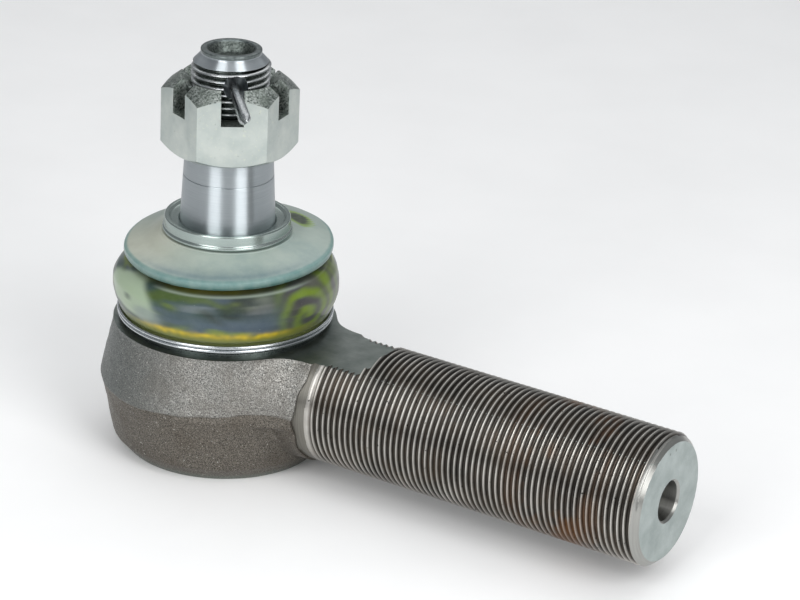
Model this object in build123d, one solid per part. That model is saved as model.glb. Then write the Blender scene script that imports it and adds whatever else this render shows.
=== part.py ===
from build123d import *
import math
import os

# Tie rod end with an M30 male shank and a 22 mm tapered ball stud.
# Frame: origin at the ball's centre, +Z up the stud, +X out along the threaded shank.
# All lengths are millimetres and all angles are degrees.

os.makedirs("parts", exist_ok=True)

# ---- fits and clearances ----
ball_clearance = 0.05       # ball in its shells, radial
ring_clearance = 0.08       # stud seat in the collar ring, radial
slip = 0.05                 # pieces that drop into a bore or a step
lip_gap = 0.40              # boot's upper lip round the stud neck
thread_clearance = 0.06     # nut bore over the stud thread's crests

# ---- ball and the way the stud swings ----
ball_d = 30.0
ball_flat = 3.0             # height turned off the foot of the ball
neck_d = 18.0               # stud neck where it leaves the ball
swing = 22.5                # largest tilt of the stud, both hinges together
shell_margin = 1.5          # angle left between the neck and the shell's edge
ball_r = ball_d / 2
neck_r = neck_d / 2
ball_flat_z = ball_flat - ball_r
ball_low_z = -ball_r * math.cos(math.acos(-ball_flat_z / ball_r) - math.radians(swing))

# ---- bearing shells ----
shell_wall = 4.35           # at the ball's equator
shell_split = 0.6           # half of the gap between the two shells
shell_shoulder = 3.5        # upper shell above its inner edge
shell_r = ball_r + shell_wall
bore_r = shell_r + slip
cup_r = ball_r + ball_clearance
mouth_angle = math.degrees(math.asin(neck_r / ball_r)) + swing + shell_margin
shell_lip_r = cup_r * math.sin(math.radians(mouth_angle))
shell_lip_z = cup_r * math.cos(math.radians(mouth_angle))

# ---- cover, crimped in from below ----
cover_gap = 0.22            # under the ball at full swing
cover_thickness = 2.15
cover_ledge = 1.5           # step out from the bore
cover_dish = 9.65           # from the cover's edge in to its dish
cover_dish_depth = 1.25
crimp_overlap = 2.3
crimp_thickness = 2.3
seal_width = 1.3
seal_height = 0.95
cover_top_z = ball_low_z - cover_gap
cover_bottom_z = cover_top_z - cover_thickness
cover_r = bore_r + cover_ledge
crimp_r = cover_r - crimp_overlap

# ---- disc spring ----
spring_thickness = 0.9
spring_cone = 1.3
spring_width = 7.2          # from its outer edge to its bore
spring_r = shell_r - 0.65
shell_foot_z = cover_top_z + spring_cone + spring_thickness + 2 * slip

# ---- housing, a forging turned about Z ----
foot_wall = 2.0             # round the cover
foot_chamfer = 3.5
foot_chamfer_width = 3.1
mouth_step = 2.5            # the step that holds the upper shell
mouth_wall = 3.7
groove_depth = 0.5          # groove for the boot's bead
groove_bottom = 0.8         # above the milled top
groove_height = 3.2
seat_width = 0.9            # machined seat below the groove, past the lip above it
seat_height = 7.1
seat_bevel = 0.6
shoulder_width = 2.1
flank_width = 3.1           # the draft, from the shoulder to the parting line
parting_z = -2.6            # forging's widest line
draft_reach = 24.0          # the drafted sides are drawn past the body, then cut to height
flat_z = 11.7               # milled flat on top of the body and the shank
housing_bottom_z = cover_bottom_z - crimp_thickness
foot_r = cover_r + foot_wall
chamfer_z = housing_bottom_z + foot_chamfer
chamfer_r = foot_r + foot_chamfer_width
mouth_floor_z = shell_lip_z + shell_shoulder
mouth_floor_r = bore_r - mouth_step
mouth_top_r = bore_r - 0.2
seat_lip_r = mouth_top_r + mouth_wall
seat_groove_r = seat_lip_r - groove_depth
seat_r = seat_lip_r + seat_width
shoulder_r = seat_r + shoulder_width
parting_r = shoulder_r + flank_width
seat_groove_z = flat_z + groove_bottom
seat_top_z = flat_z + seat_height

# ---- shank ----
shank_d = 30.0
shank_pitch = 1.5
shank_end_x = 117.1
shank_chamfer = 1.6
collar_width = 6.2          # plain, between the forged neck and the thread
forged_neck_extra = 0.6     # the forged neck stands this far above the turned collar
collar_bevel = 0.35         # slope of the bevel where the turning stops
neck_blend = 2.5
flat_length = 16.2          # milled flat, from the start of the collar
flat_end_r = 17.0           # cutter's run-out
centre_hole_d = 9.0
centre_hole_depth = 11.0
centre_hole_mouth = 0.5     # widening at the mouth, radial
drill_point = 118.0
shank_r = shank_d / 2
forged_neck_r = shank_r + forged_neck_extra
collar_start_x = parting_r - 0.3
collar_end_x = collar_start_x + collar_width
flat_end_x = collar_start_x + flat_length

# ---- boot ----
bead_rest = 0.15            # bead above the foot of its groove
bead_height = 2.45
bead_wall = 1.65            # from the groove out to the bead's face
boot_wall = 1.5
bulge_out = 1.8             # bulge past the bead
bulge_z = flat_z + 9.2
bulge_top_z = flat_z + 15.4
bulge_top_in = 2.6          # top of the bulge, in from the bead
waist_in = 5.9
waist_z = flat_z + 16.4
disc_r = 24.0
disc_rim_z = flat_z + 16.9
disc_rim_height = 2.2
disc_rise = 2.4             # the disc climbs towards the ring
bead_bottom_z = seat_groove_z + bead_rest
bead_top_z = bead_bottom_z + bead_height
bead_r = seat_groove_r + slip + bead_wall
bulge_r = bead_r + bulge_out
bulge_top_r = bead_r - bulge_top_in
waist_r = bead_r - waist_in

# ---- clamp ring: two turns of wire round the boot's bead ----
wire_d = 0.9
wire_turns_z = [bead_bottom_z + 0.8, bead_bottom_z + 1.77]

# ---- stud above the ball ----
neck_flare_z = 24.0
lip_seat_z = flat_z + 16.3
lip_seat_step = 0.65        # the boot's lip runs on a smaller diameter than the ring
cone_d = 21.7               # large end of the cone, and the ring's seat
cone_z = flat_z + 25.5
cone_length = 15.1
taper_ratio = 0.1           # change of diameter per length
gauge_line_up = 9.85        # fine scribed line round the cone, from its large end
gauge_line_width = 0.3
gauge_line_depth = 0.12
stud_thread_d = 18.0
stud_pitch = 1.5
thread_start = 0.6          # above the cone
stud_thread_proud = 3.4     # thread above the nut
stud_point = 3.1            # unthreaded end
pilot_in = 2.1              # the end's pilot, in from the thread
pilot_height = 1.0
dish_r = 4.8
dish_depth = 1.9
cotter_hole_d = 5.0
cotter_hole_down = 0.1      # the hole's axis, below the nut's top
cotter_turn = -47.0         # the hole's direction, from +X
cone_top_z = cone_z + cone_length
gauge_line_z = cone_z + gauge_line_up
thread_r = stud_thread_d / 2

# ---- castle nut ----
nut_across_flats = 27.0
nut_height = 17.5
nut_above_cone = 0.7
nut_turn = -52.5            # direction of the face that looks forward, from +X
nut_slot_width = 5.1
nut_slot_depth = 7.6
nut_top_rim = 2.0           # in from the flats
nut_top_slope = 0.81
nut_foot_rim = 0.6
nut_foot_slope = 0.62
nut_mouth_in = 2.4          # countersink's edge, in from the flats
nut_mouth_depth = 1.4
nut_bottom_z = cone_top_z + nut_above_cone
nut_top_z = nut_bottom_z + nut_height
nut_flat_r = nut_across_flats / 2
stud_thread_top_z = nut_top_z + stud_thread_proud
stud_top_z = stud_thread_top_z + stud_point
pilot_bottom_z = stud_top_z - pilot_height
pilot_r = thread_r - pilot_in
cotter_hole_z = nut_top_z - cotter_hole_down

# ---- split pin ----
pin_d = 2.9
pin_turn = -50.0
pin_roll = 36.0             # how far the split is turned about the pin
pin_gap = 0.12
leg_tips = [(11.6, -46.2, -1.9), (10.2, -47.2, -2.8)]    # past the nut's flat, direction, below the hole
eye_gap = 0.5               # between the nut's flat and the eye's neck
eye_r = 2.7
eye_wire_d = 2.0
pin_bend_r = thread_r + 0.5

# ---- collar ring on the boot ----
ring_width = 3.65
ring_flange = 0.4
ring_flange_height = 0.9
ring_groove_depth = 0.35
ring_height = 3.5
ring_dish_depth = 0.9
ring_bottom_z = flat_z + 21.8
ring_seat_step = 0.25       # the stud's seat starts this far above the ring's foot
ring_bore_r = cone_d / 2 + ring_clearance
ring_r = cone_d / 2 + ring_width
ring_flange_r = ring_r + ring_flange
ring_top_z = ring_bottom_z + ring_height


def revolved(points, axis=Axis.Z):
    """A closed outline of (radius, height) points turned about Z, or (x, radius) about X."""
    if axis == Axis.Z:
        outline = Polyline([(r, 0, z) for r, z in points], close=True)
    else:
        outline = Polyline([(x, r, 0) for x, r in points], close=True)
    return revolve(make_face(outline), axis, 360)


def polar(radius, direction, height):
    """A point at a radius from Z, in a direction from +X, at a height."""
    turn = math.radians(direction)
    return Vector(radius * math.cos(turn), radius * math.sin(turn), height)


def thread_ridges(start, end, crest_r, pitch):
    """The upper outline of a 60 degree thread: (along, radius) points, one ridge per pitch."""
    depth = 0.3125 * pitch / math.tan(math.radians(30))
    root_r = crest_r - depth
    count = int((end - start) / pitch)
    points = [(start, root_r)]
    for i in range(count):
        crest = start + (i + 0.5) * pitch
        points.append((crest - 0.375 * pitch, root_r))
        points.append((crest - pitch / 16, crest_r))
        points.append((crest + pitch / 16, crest_r))
        points.append((crest + 0.375 * pitch, root_r))
    points.append((end, root_r))
    return points


def sphere_r_at(radius, height):
    return math.sqrt(radius ** 2 - height ** 2)


# ---- the pieces ----

def make_shank():
    """Collar, annular thread ridges and chamfered end, turned about X, with its centre hole."""
    runout = 0.5
    ridges = thread_ridges(collar_end_x, shank_end_x, shank_r, shank_pitch)
    outline = [(0, 0), (0, shank_r), (collar_end_x - runout, shank_r)] + ridges + [(shank_end_x, 0)]
    shank = revolved(outline, Axis.X)
    shank = shank & revolved([
        (-1, 0),
        (-1, shank_r + 1),
        (shank_end_x - shank_chamfer - 1, shank_r + 1),
        (shank_end_x, shank_r - shank_chamfer),
        (shank_end_x, 0),
    ], Axis.X)
    hole_r = centre_hole_d / 2
    mouth_r = hole_r + centre_hole_mouth
    floor_x = shank_end_x - centre_hole_depth
    tip_x = floor_x - hole_r / math.tan(math.radians(drill_point / 2))
    return shank - revolved([
        (tip_x, 0),
        (floor_x, hole_r),
        (shank_end_x - centre_hole_mouth, hole_r),
        (shank_end_x + 1, mouth_r + 1),
        (shank_end_x + 1, 0),
    ], Axis.X)


def make_housing():
    """The forged body and neck, blended, milled level on top, with the seat and the shank."""
    blank = revolved([
        (0, -draft_reach),
        (flank_r(-draft_reach), -draft_reach),
        (parting_r, parting_z),
        (flank_r(draft_reach), draft_reach),
        (0, draft_reach),
    ])
    neck_reach = collar_start_x + 12
    neck = Pos(neck_reach / 2, 0, 0) * Rot(0, 90, 0) * Cylinder(forged_neck_r, neck_reach)
    forging = blank + neck
    forging = fillet(forging.edges().filter_by(is_neck_crease), neck_blend)
    forging = forging - make_collar_turning()
    forging = forging - Pos(0, 0, flat_z + draft_reach) * Box(200, 200, 2 * draft_reach)
    forging = forging - revolved([
        (0, -2 * draft_reach),
        (0, housing_bottom_z),
        (foot_r, housing_bottom_z),
        (chamfer_r, chamfer_z),
        (2 * chamfer_r, chamfer_z),
        (2 * chamfer_r, -2 * draft_reach),
    ])
    seat = revolved([
        (0, 0),
        (seat_r, 0),
        (seat_r, seat_groove_z),
        (seat_groove_r, seat_groove_z),
        (seat_groove_r, seat_groove_z + groove_height),
        (seat_lip_r, seat_groove_z + groove_height),
        (seat_lip_r, seat_top_z - seat_bevel),
        (seat_lip_r - seat_bevel, seat_top_z),
        (0, seat_top_z),
    ])
    shank = make_shank() - make_flat_cutter()
    return forging + seat + shank - make_cavity()


def flank_r(z):
    """Radius of the drafted side of the forging at a height."""
    if z > parting_z:
        share = (z - parting_z) / (flat_z - parting_z)
        return parting_r - share * flank_width
    share = (z - parting_z) / (chamfer_z - parting_z)
    return parting_r + share * (chamfer_r - parting_r)


def is_neck_crease(edge):
    """True for the closed crease where the round neck leaves the drafted body."""
    middle = edge.position_at(0.5)
    on_neck = abs(math.hypot(middle.Y, middle.Z) - forged_neck_r) < 0.05
    near_body = middle.X > parting_r / 2 and middle.X < collar_start_x + 10
    return on_neck and near_body and edge.geom_type != GeomType.LINE


def make_collar_turning():
    """What the lathe takes off the forged neck, with a bevel where it stops."""
    far_r = parting_r
    return revolved([
        (collar_start_x - (far_r - shank_r) * collar_bevel, far_r),
        (collar_start_x, shank_r),
        (collar_start_x, 0),
        (collar_start_x + 20, 0),
        (collar_start_x + 20, far_r),
    ], Axis.X)


def make_flat_cutter():
    """The milled flat: a box with a round run-out at its far end."""
    height = 20
    middle_x = flat_end_x - flat_end_r
    round_end = Pos(middle_x, 0, flat_z + height / 2) * Cylinder(flat_end_r, height)
    straight = Pos(middle_x / 2, 0, flat_z + height / 2)
    return round_end + straight * Box(middle_x, 2 * flat_end_r, height)


def make_cavity():
    """Everything bored out of the housing, from the crimped lip up to the mouth."""
    return revolved([
        (0, housing_bottom_z - 1),
        (crimp_r, housing_bottom_z - 1),
        (crimp_r, cover_bottom_z),
        (cover_r + slip, cover_bottom_z),
        (cover_r + slip, cover_top_z + slip),
        (bore_r, cover_top_z + slip),
        (bore_r, mouth_floor_z),
        (mouth_floor_r, mouth_floor_z),
        (mouth_top_r, seat_top_z),
        (mouth_top_r, seat_top_z + 1),
        (0, seat_top_z + 1),
    ])


def make_upper_shell():
    blank = revolved([
        (0, shell_split),
        (shell_r, shell_split),
        (shell_r, mouth_floor_z),
        (mouth_floor_r, mouth_floor_z),
        (shell_lip_r, shell_lip_z),
        (0, shell_lip_z),
    ])
    return blank - Sphere(cup_r)


def make_lower_shell():
    rim = 0.8
    hole_r = sphere_r_at(cup_r, shell_foot_z) + rim
    blank = revolved([
        (hole_r, shell_foot_z),
        (shell_r - 2 * rim, shell_foot_z),
        (shell_r, shell_foot_z + 2 * rim),
        (shell_r, -shell_split),
        (hole_r, -shell_split),
    ])
    return blank - Sphere(cup_r)


def make_disc_spring():
    low = cover_top_z + slip
    bore = spring_r - spring_width
    return revolved([
        (spring_r, low),
        (spring_r, low + spring_thickness),
        (bore, low + spring_thickness + spring_cone),
        (bore, low + spring_cone),
    ])


def make_cover_plate():
    step_r = cover_r - seal_width
    dish_edge = cover_r - cover_dish
    wall = 1.0
    return revolved([
        (0, cover_bottom_z - cover_dish_depth),
        (dish_edge - wall, cover_bottom_z - cover_dish_depth),
        (dish_edge + wall, cover_bottom_z),
        (cover_r, cover_bottom_z),
        (cover_r, cover_top_z - seal_height),
        (step_r, cover_top_z - seal_height),
        (step_r, cover_top_z),
        (dish_edge + 2 * wall, cover_top_z),
        (dish_edge, cover_top_z - cover_dish_depth),
        (0, cover_top_z - cover_dish_depth),
    ])


def make_cover_seal():
    inner_r = cover_r - seal_width + slip
    low = cover_top_z - seal_height + slip
    soft = 0.25
    return revolved([
        (inner_r, low),
        (cover_r - soft, low),
        (cover_r, low + soft),
        (cover_r, cover_top_z - soft),
        (cover_r - soft, cover_top_z),
        (inner_r + soft, cover_top_z),
        (inner_r, cover_top_z - soft),
    ])


def cone_r(z):
    return cone_d / 2 - taper_ratio / 2 * (z - cone_z)


def make_ball_stud():
    groove = gauge_line_width / 2
    lip_r = cone_d / 2 - lip_seat_step
    seat_z = ring_bottom_z + ring_seat_step
    ridges = thread_ridges(cone_top_z + thread_start, stud_thread_top_z, thread_r, stud_pitch)
    neck_z = sphere_r_at(ball_r, neck_r) - 1
    edge = 0.35
    shank = revolved([
        (0, neck_z),
        (neck_r, neck_z),
        (neck_r, neck_flare_z),
        (lip_r, lip_seat_z),
        (lip_r, seat_z),
        (cone_d / 2, seat_z),
        (cone_d / 2, cone_z),
        (cone_r(gauge_line_z - groove), gauge_line_z - groove),
        (cone_r(gauge_line_z) - gauge_line_depth, gauge_line_z),
        (cone_r(gauge_line_z + groove), gauge_line_z + groove),
        (cone_r(cone_top_z), cone_top_z),
    ] + [(r, z) for z, r in ridges] + [
        (thread_r - 0.1, stud_thread_top_z),
        (pilot_r - 0.1, pilot_bottom_z),
        (pilot_r, pilot_bottom_z + edge),
        (pilot_r, stud_top_z - edge),
        (pilot_r - edge, stud_top_z),
        (dish_r, stud_top_z - 2 * edge),
        (dish_r - 0.9, stud_top_z - dish_depth),
        (0, stud_top_z - dish_depth - 0.2),
    ])
    ball = Sphere(ball_r)
    below_flat = Pos(0, 0, ball_flat_z - ball_r) * Box(2 * ball_d, 2 * ball_d, ball_d)
    stud = ball - below_flat + shank
    turned = Pos(0, 0, cotter_hole_z) * Rot(0, 0, cotter_turn) * Rot(0, 90, 0)
    return stud - turned * Cylinder(cotter_hole_d / 2, 2 * stud_thread_d)


def make_castle_nut():
    corner_r = nut_across_flats / math.sqrt(3)
    blank = Pos(0, 0, nut_bottom_z) * extrude(RegularPolygon(corner_r, 6, rotation=nut_turn + 30), nut_height)
    reach = corner_r + 2
    rim_r = nut_flat_r - nut_top_rim
    base_r = nut_flat_r - nut_foot_rim
    envelope = revolved([
        (0, nut_bottom_z),
        (base_r, nut_bottom_z),
        (reach, nut_bottom_z + (reach - base_r) * nut_foot_slope),
        (reach, nut_top_z - (reach - rim_r) * nut_top_slope),
        (rim_r, nut_top_z),
        (0, nut_top_z),
    ])
    hole_r = thread_r + thread_clearance
    mouth_r = nut_flat_r - nut_mouth_in
    foot_mouth = 0.8
    bore = revolved([
        (0, nut_bottom_z - 1),
        (hole_r + foot_mouth + 1, nut_bottom_z - 1),
        (hole_r, nut_bottom_z + foot_mouth),
        (hole_r, nut_top_z - nut_mouth_depth),
        (mouth_r, nut_top_z),
        (mouth_r, nut_top_z + 1),
        (0, nut_top_z + 1),
    ])
    nut = (blank & envelope) - bore
    slot_height = nut_slot_depth + 1
    slot = Pos(0, 0, nut_top_z + 1 - slot_height / 2) * Box(3 * reach, nut_slot_width, slot_height)
    for i in range(3):
        nut = nut - Rot(0, 0, nut_turn + 60 * i) * slot
    return nut


def make_split_pin():
    """Two half-round legs that leave the hole and hang down, and a round eye behind the nut."""
    along = polar(1, pin_turn, 0)
    across = Vector(0, 0, 1).cross(along)
    roll = math.radians(pin_roll)
    apart = across * math.cos(roll) + Vector(0, 0, 1) * math.sin(roll)
    middle = Vector(0, 0, cotter_hole_z)
    start = middle - along * (nut_flat_r + eye_gap)
    bend = middle + along * pin_bend_r
    eye_plane = Plane(origin=start - along * (eye_r - 0.6), x_dir=along, z_dir=along.cross(apart))
    pin = eye_plane * Torus(eye_r, eye_wire_d / 2)
    for side, (past, direction, down) in zip((1, -1), leg_tips):
        tip = polar(nut_flat_r + past, direction, cotter_hole_z + down)
        path = FilletPolyline([start, bend, tip], radius=6.0)
        half = Plane(origin=start, x_dir=apart * side, z_dir=along) * half_round()
        pin = pin + sweep(half, path=path)
    return pin


def half_round():
    r = pin_d / 2
    gap = pin_gap / 2
    disc = Circle(r)
    return disc - Pos(gap - r, 0) * Rectangle(2 * r, 4 * r)


def make_boot():
    inner_bead_r = seat_groove_r + slip
    lip_r = cone_d / 2 - lip_seat_step + lip_gap
    collar_r = ring_flange_r + lip_gap
    disc_top_z = disc_rim_z + disc_rim_height
    deck_z = ring_bottom_z - slip
    rim_round = 0.5
    lip_bottom_z = lip_seat_z + 1.2

    def arc(a, b, c):
        return ThreePointArc((a[0], 0, a[1]), (b[0], 0, b[1]), (c[0], 0, c[1]))

    def line(*points):
        return Polyline([(r, 0, z) for r, z in points])

    outer_low = (bead_r, bead_top_z)
    outer_high = (bulge_top_r, bulge_top_z)
    inner_high = (bulge_top_r - 0.6, bulge_top_z - boot_wall)
    inner_low = (seat_lip_r + lip_gap, bead_top_z + 0.5)
    outline = [
        line((inner_bead_r, bead_bottom_z), (bead_r, bead_bottom_z), outer_low),
        arc(outer_low, (bulge_r, bulge_z), outer_high),
        line(outer_high, (waist_r, waist_z - 0.3), (waist_r - 0.3, waist_z), (waist_r, waist_z + 0.3),
             (disc_r - rim_round, disc_rim_z), (disc_r, disc_rim_z + rim_round),
             (disc_r, disc_top_z - rim_round), (disc_r - rim_round, disc_top_z),
             (collar_r, disc_top_z + disc_rise), (collar_r, deck_z), (lip_r, deck_z),
             (lip_r, lip_bottom_z), (waist_r - boot_wall - 3, waist_z - 0.5),
             (waist_r - boot_wall, waist_z - 0.8), inner_high),
        arc(inner_high, (bulge_r - boot_wall, bulge_z), inner_low),
        line(inner_low, (inner_bead_r, bead_top_z + 0.3), (inner_bead_r, bead_bottom_z)),
    ]
    return revolve(make_face(outline), Axis.Z, 360)


def make_clamp_ring():
    """Two closed turns of wire, joined where they touch over a short stretch."""
    wire_r = wire_d / 2
    turn_r = bead_r + slip + wire_r
    low, high = wire_turns_z
    joint = polar(turn_r, 100, (low + high) / 2)
    ring = Pos(0, 0, low) * Torus(turn_r, wire_r) + Pos(0, 0, high) * Torus(turn_r, wire_r)
    return ring + Pos(joint.X, joint.Y, joint.Z) * Rot(0, 0, 100) * Box(wire_d * 0.6, 3.0, high - low)


def make_collar_ring():
    flange_top = ring_bottom_z + ring_flange_height
    dish_z = ring_top_z - ring_dish_depth
    rim = 0.8
    edge = 0.25
    return revolved([
        (ring_bore_r, ring_bottom_z),
        (ring_flange_r - edge, ring_bottom_z),
        (ring_flange_r, ring_bottom_z + edge),
        (ring_flange_r, flange_top - edge),
        (ring_flange_r - edge, flange_top),
        (ring_r - ring_groove_depth, flange_top),
        (ring_r - ring_groove_depth, flange_top + edge),
        (ring_r, flange_top + 2 * edge),
        (ring_r, ring_top_z - edge),
        (ring_r - edge, ring_top_z),
        (ring_r - rim, ring_top_z),
        (ring_r - 2 * rim, dish_z + edge),
        (ring_bore_r + edge, dish_z),
        (ring_bore_r, dish_z - edge),
    ])


pieces = {
    "housing": make_housing,
    "upper_bearing_shell": make_upper_shell,
    "lower_bearing_shell": make_lower_shell,
    "disc_spring": make_disc_spring,
    "cover_plate": make_cover_plate,
    "cover_seal": make_cover_seal,
    "boot": make_boot,
    "boot_clamp_ring": make_clamp_ring,
    "boot_collar_ring": make_collar_ring,
    "ball_stud": make_ball_stud,
    "castle_nut": make_castle_nut,
    "split_pin": make_split_pin,
}

for name, make in pieces.items():
    export_step(make(), f"parts/{name}.step")
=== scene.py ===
import math

import bmesh
import bpy
import numpy as np
from mathutils import Matrix, Vector


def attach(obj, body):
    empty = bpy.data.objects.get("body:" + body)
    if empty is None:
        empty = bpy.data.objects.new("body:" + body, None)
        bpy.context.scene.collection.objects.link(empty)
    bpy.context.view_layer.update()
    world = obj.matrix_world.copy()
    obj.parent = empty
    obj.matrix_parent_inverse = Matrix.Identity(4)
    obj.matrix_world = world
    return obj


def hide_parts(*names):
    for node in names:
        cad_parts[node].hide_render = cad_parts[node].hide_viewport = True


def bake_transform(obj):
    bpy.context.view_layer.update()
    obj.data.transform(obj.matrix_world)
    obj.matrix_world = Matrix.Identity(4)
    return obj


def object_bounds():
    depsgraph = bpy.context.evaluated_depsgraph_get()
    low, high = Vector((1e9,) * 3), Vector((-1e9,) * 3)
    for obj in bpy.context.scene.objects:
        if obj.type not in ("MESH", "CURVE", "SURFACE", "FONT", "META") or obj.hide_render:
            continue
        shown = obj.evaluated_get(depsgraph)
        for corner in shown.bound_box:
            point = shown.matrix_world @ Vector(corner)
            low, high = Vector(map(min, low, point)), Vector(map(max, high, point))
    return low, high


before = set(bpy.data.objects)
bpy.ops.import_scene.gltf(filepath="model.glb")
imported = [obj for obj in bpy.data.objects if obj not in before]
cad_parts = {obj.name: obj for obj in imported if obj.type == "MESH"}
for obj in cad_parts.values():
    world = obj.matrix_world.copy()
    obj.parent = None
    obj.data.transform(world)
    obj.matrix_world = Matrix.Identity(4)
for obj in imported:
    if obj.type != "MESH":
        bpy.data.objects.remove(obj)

cad_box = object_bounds()
MM = 0.001
TAU = 2 * math.pi

# ---- camera ----
AZIMUTH = math.radians(31.449)
ELEVATION = math.radians(23.24)
ROLL = math.radians(2.783)
DISTANCE = 688.2
SHIFT_RIGHT = 40.975
SHIFT_UP = 14.234
LENS = 132.75
FRONT = math.degrees(AZIMUTH) - 90    # direction from the ball's centre to the camera, from +X


# ---- sizes that more than one piece uses, in millimetres; the origin is the ball's centre ----
FOOT_Z = -19.2
PARTING_Z = -2.6
FLAT_Z = 11.7
SEAT_R = 23.8            # where the flat ends, at the boot's seat
NECK_R = 15.6
SHANK_R = 15.0
SHANK_END = 117.1
SHANK_ROOT = 27.9        # the shank's mesh starts here, inside the forging
COLLAR_X = 28.7
FORGING_OVER = 1.3       # the forging reaches past COLLAR_X by this, and further at the top
FORGING_OVER_TOP = 1.5
MILL_R = 17.0            # the round end of the milled flat
CENTRE_HOLE_R = 4.5
PITCH = 1.5
BALL_R = 15.0
STUD_R = 9.0
STUD_THREAD_START = 54.4
STUD_THREAD_END = 74.0
HOLE_Z = 70.3
HOLE_R = 2.8
HOLE_TURN = math.radians(-47.0)
PIN_TURN = math.radians(-50.0)
PIN_ROLL = math.radians(36.0)
NUT_TURN = -52.5
SLOT_FLOOR = 62.6
SEAM_Z = 20.9            # where the boot's two pieces meet
SMEAR_PHI = 121.0        # grease on the disc: direction from the front, and radius
SMEAR_R = 18.2
CLAMP_START = 88.0       # direction of the clamp wire's first end
COLUMNS = 720            # points round the housing and the boot


# ---------------------------------------------------------------- numbers

def smoothstep(low, high, value):
    """0 below low, 1 above high and a smooth step between; low may be the larger."""
    t = np.clip((value - low) / (high - low), 0, 1)
    return t * t * (3 - 2 * t)


def bump_at(value, centre, width):
    """1 at the centre, falling away over about width on both sides."""
    return np.exp(-((value - centre) / width) ** 2)


def lattice(i, j, k):
    """A fixed number from -1 to 1 for each whole-number place."""
    n = i * 73856093 ^ j * 19349663 ^ k * 83492791
    n = (n ^ (n >> 13)) * 1274126177
    return ((n ^ (n >> 16)) & 0xFFFF) / 32767.5 - 1


def noise(p, size, seed=0):
    """Smooth noise from -1 to 1 at points p, with features about size across."""
    q = p / size + 13.7 * seed
    cell = np.floor(q).astype(np.int64)
    u = q - cell
    u = u * u * (3 - 2 * u)
    total = 0
    for a in (0, 1):
        for b in (0, 1):
            for c in (0, 1):
                w = (u[..., 0] if a else 1 - u[..., 0])
                w = w * (u[..., 1] if b else 1 - u[..., 1])
                w = w * (u[..., 2] if c else 1 - u[..., 2])
                total = total + w * lattice(cell[..., 0] + a, cell[..., 1] + b, cell[..., 2] + c)
    return total


def layered(p, size, layers, seed=0):
    """Noise with finer and weaker noise added to it."""
    return sum(noise(p, size / 2 ** n, seed + n) / 2 ** n for n in range(layers))


def angle_from(theta, centre):
    """Signed difference of two directions, in degrees."""
    return (np.degrees(theta) - centre + 180) % 360 - 180


def rounded(corners, step):
    """A line through (r, z, radius) corners, each one rounded, as evenly spaced points."""
    out = []
    for n, (r, z, radius) in enumerate(corners):
        here = np.array((r, z))
        if radius == 0 or n in (0, len(corners) - 1):
            out.append(here)
            continue
        back = np.array(corners[n - 1][:2]) - here
        on = np.array(corners[n + 1][:2]) - here
        back_length = np.linalg.norm(back)
        on_length = np.linalg.norm(on)
        back /= back_length
        on /= on_length
        half = math.acos(np.clip(back @ on, -1, 1)) / 2
        cut = min(radius / math.tan(half), 0.48 * back_length, 0.48 * on_length)
        for t in np.linspace(0, 1, 7):
            out.append(here + back * cut * (1 - t) ** 2 + on * cut * t ** 2)
    line = [out[0]]
    for a, b in zip(out[:-1], out[1:]):
        parts = max(1, int(np.linalg.norm(b - a) / step))
        line += [a + (b - a) * (i + 1) / parts for i in range(parts)]
    return np.array(line)


def turned(line, columns):
    """Points of a line of (r, z) turned about Z, one row per point of the line."""
    theta = np.arange(columns) / columns * TAU
    r = line[:, 0][:, None]
    z = line[:, 1][:, None] + 0 * theta
    return np.stack([r * np.cos(theta), r * np.sin(theta), z], axis=-1), theta


# ---------------------------------------------------------------- meshes

def mesh_object(name, points, faces, sharp=40, values=None):
    """An object from points in millimetres, with points that lie on each other joined."""
    mesh = bpy.data.meshes.new(name)
    mesh.from_pydata((points * MM).tolist(), [], faces.tolist())
    for key, value in (values or {}).items():
        value = np.asarray(value, np.float32).reshape(len(points), -1)
        if value.shape[1] == 1:
            mesh.attributes.new(key, "FLOAT", "POINT").data.foreach_set("value", value.ravel())
        else:
            value = np.hstack([value[:, :3], np.ones((len(points), 1), np.float32)])
            mesh.attributes.new(key, "FLOAT_COLOR", "POINT").data.foreach_set("color", value.ravel())
    mesh.validate()
    work = bmesh.new()
    work.from_mesh(mesh)
    bmesh.ops.remove_doubles(work, verts=work.verts, dist=1e-6)
    bmesh.ops.recalc_face_normals(work, faces=work.faces)
    work.to_mesh(mesh)
    work.free()
    mesh.shade_smooth()
    mesh.set_sharp_from_angle(angle=math.radians(sharp))
    obj = bpy.data.objects.new(name, mesh)
    bpy.context.scene.collection.objects.link(obj)
    return obj


def grid_object(name, points, closed=False, sharp=40, ring=True, values=None):
    """A mesh from rows of points.

    closed joins the last row to the first, and ring the last column to the first.
    """
    rows, columns = points.shape[:2]
    index = np.arange(rows * columns).reshape(rows, columns)
    low = index if closed else index[:-1]
    high = np.roll(index, -1, axis=0) if closed else index[1:]
    faces = np.stack([low, np.roll(low, -1, axis=1), np.roll(high, -1, axis=1), high], axis=-1)
    if not ring:
        faces = faces[:, :-1]
    return mesh_object(name, points.reshape(-1, 3), faces.reshape(-1, 4), sharp, values)


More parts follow.
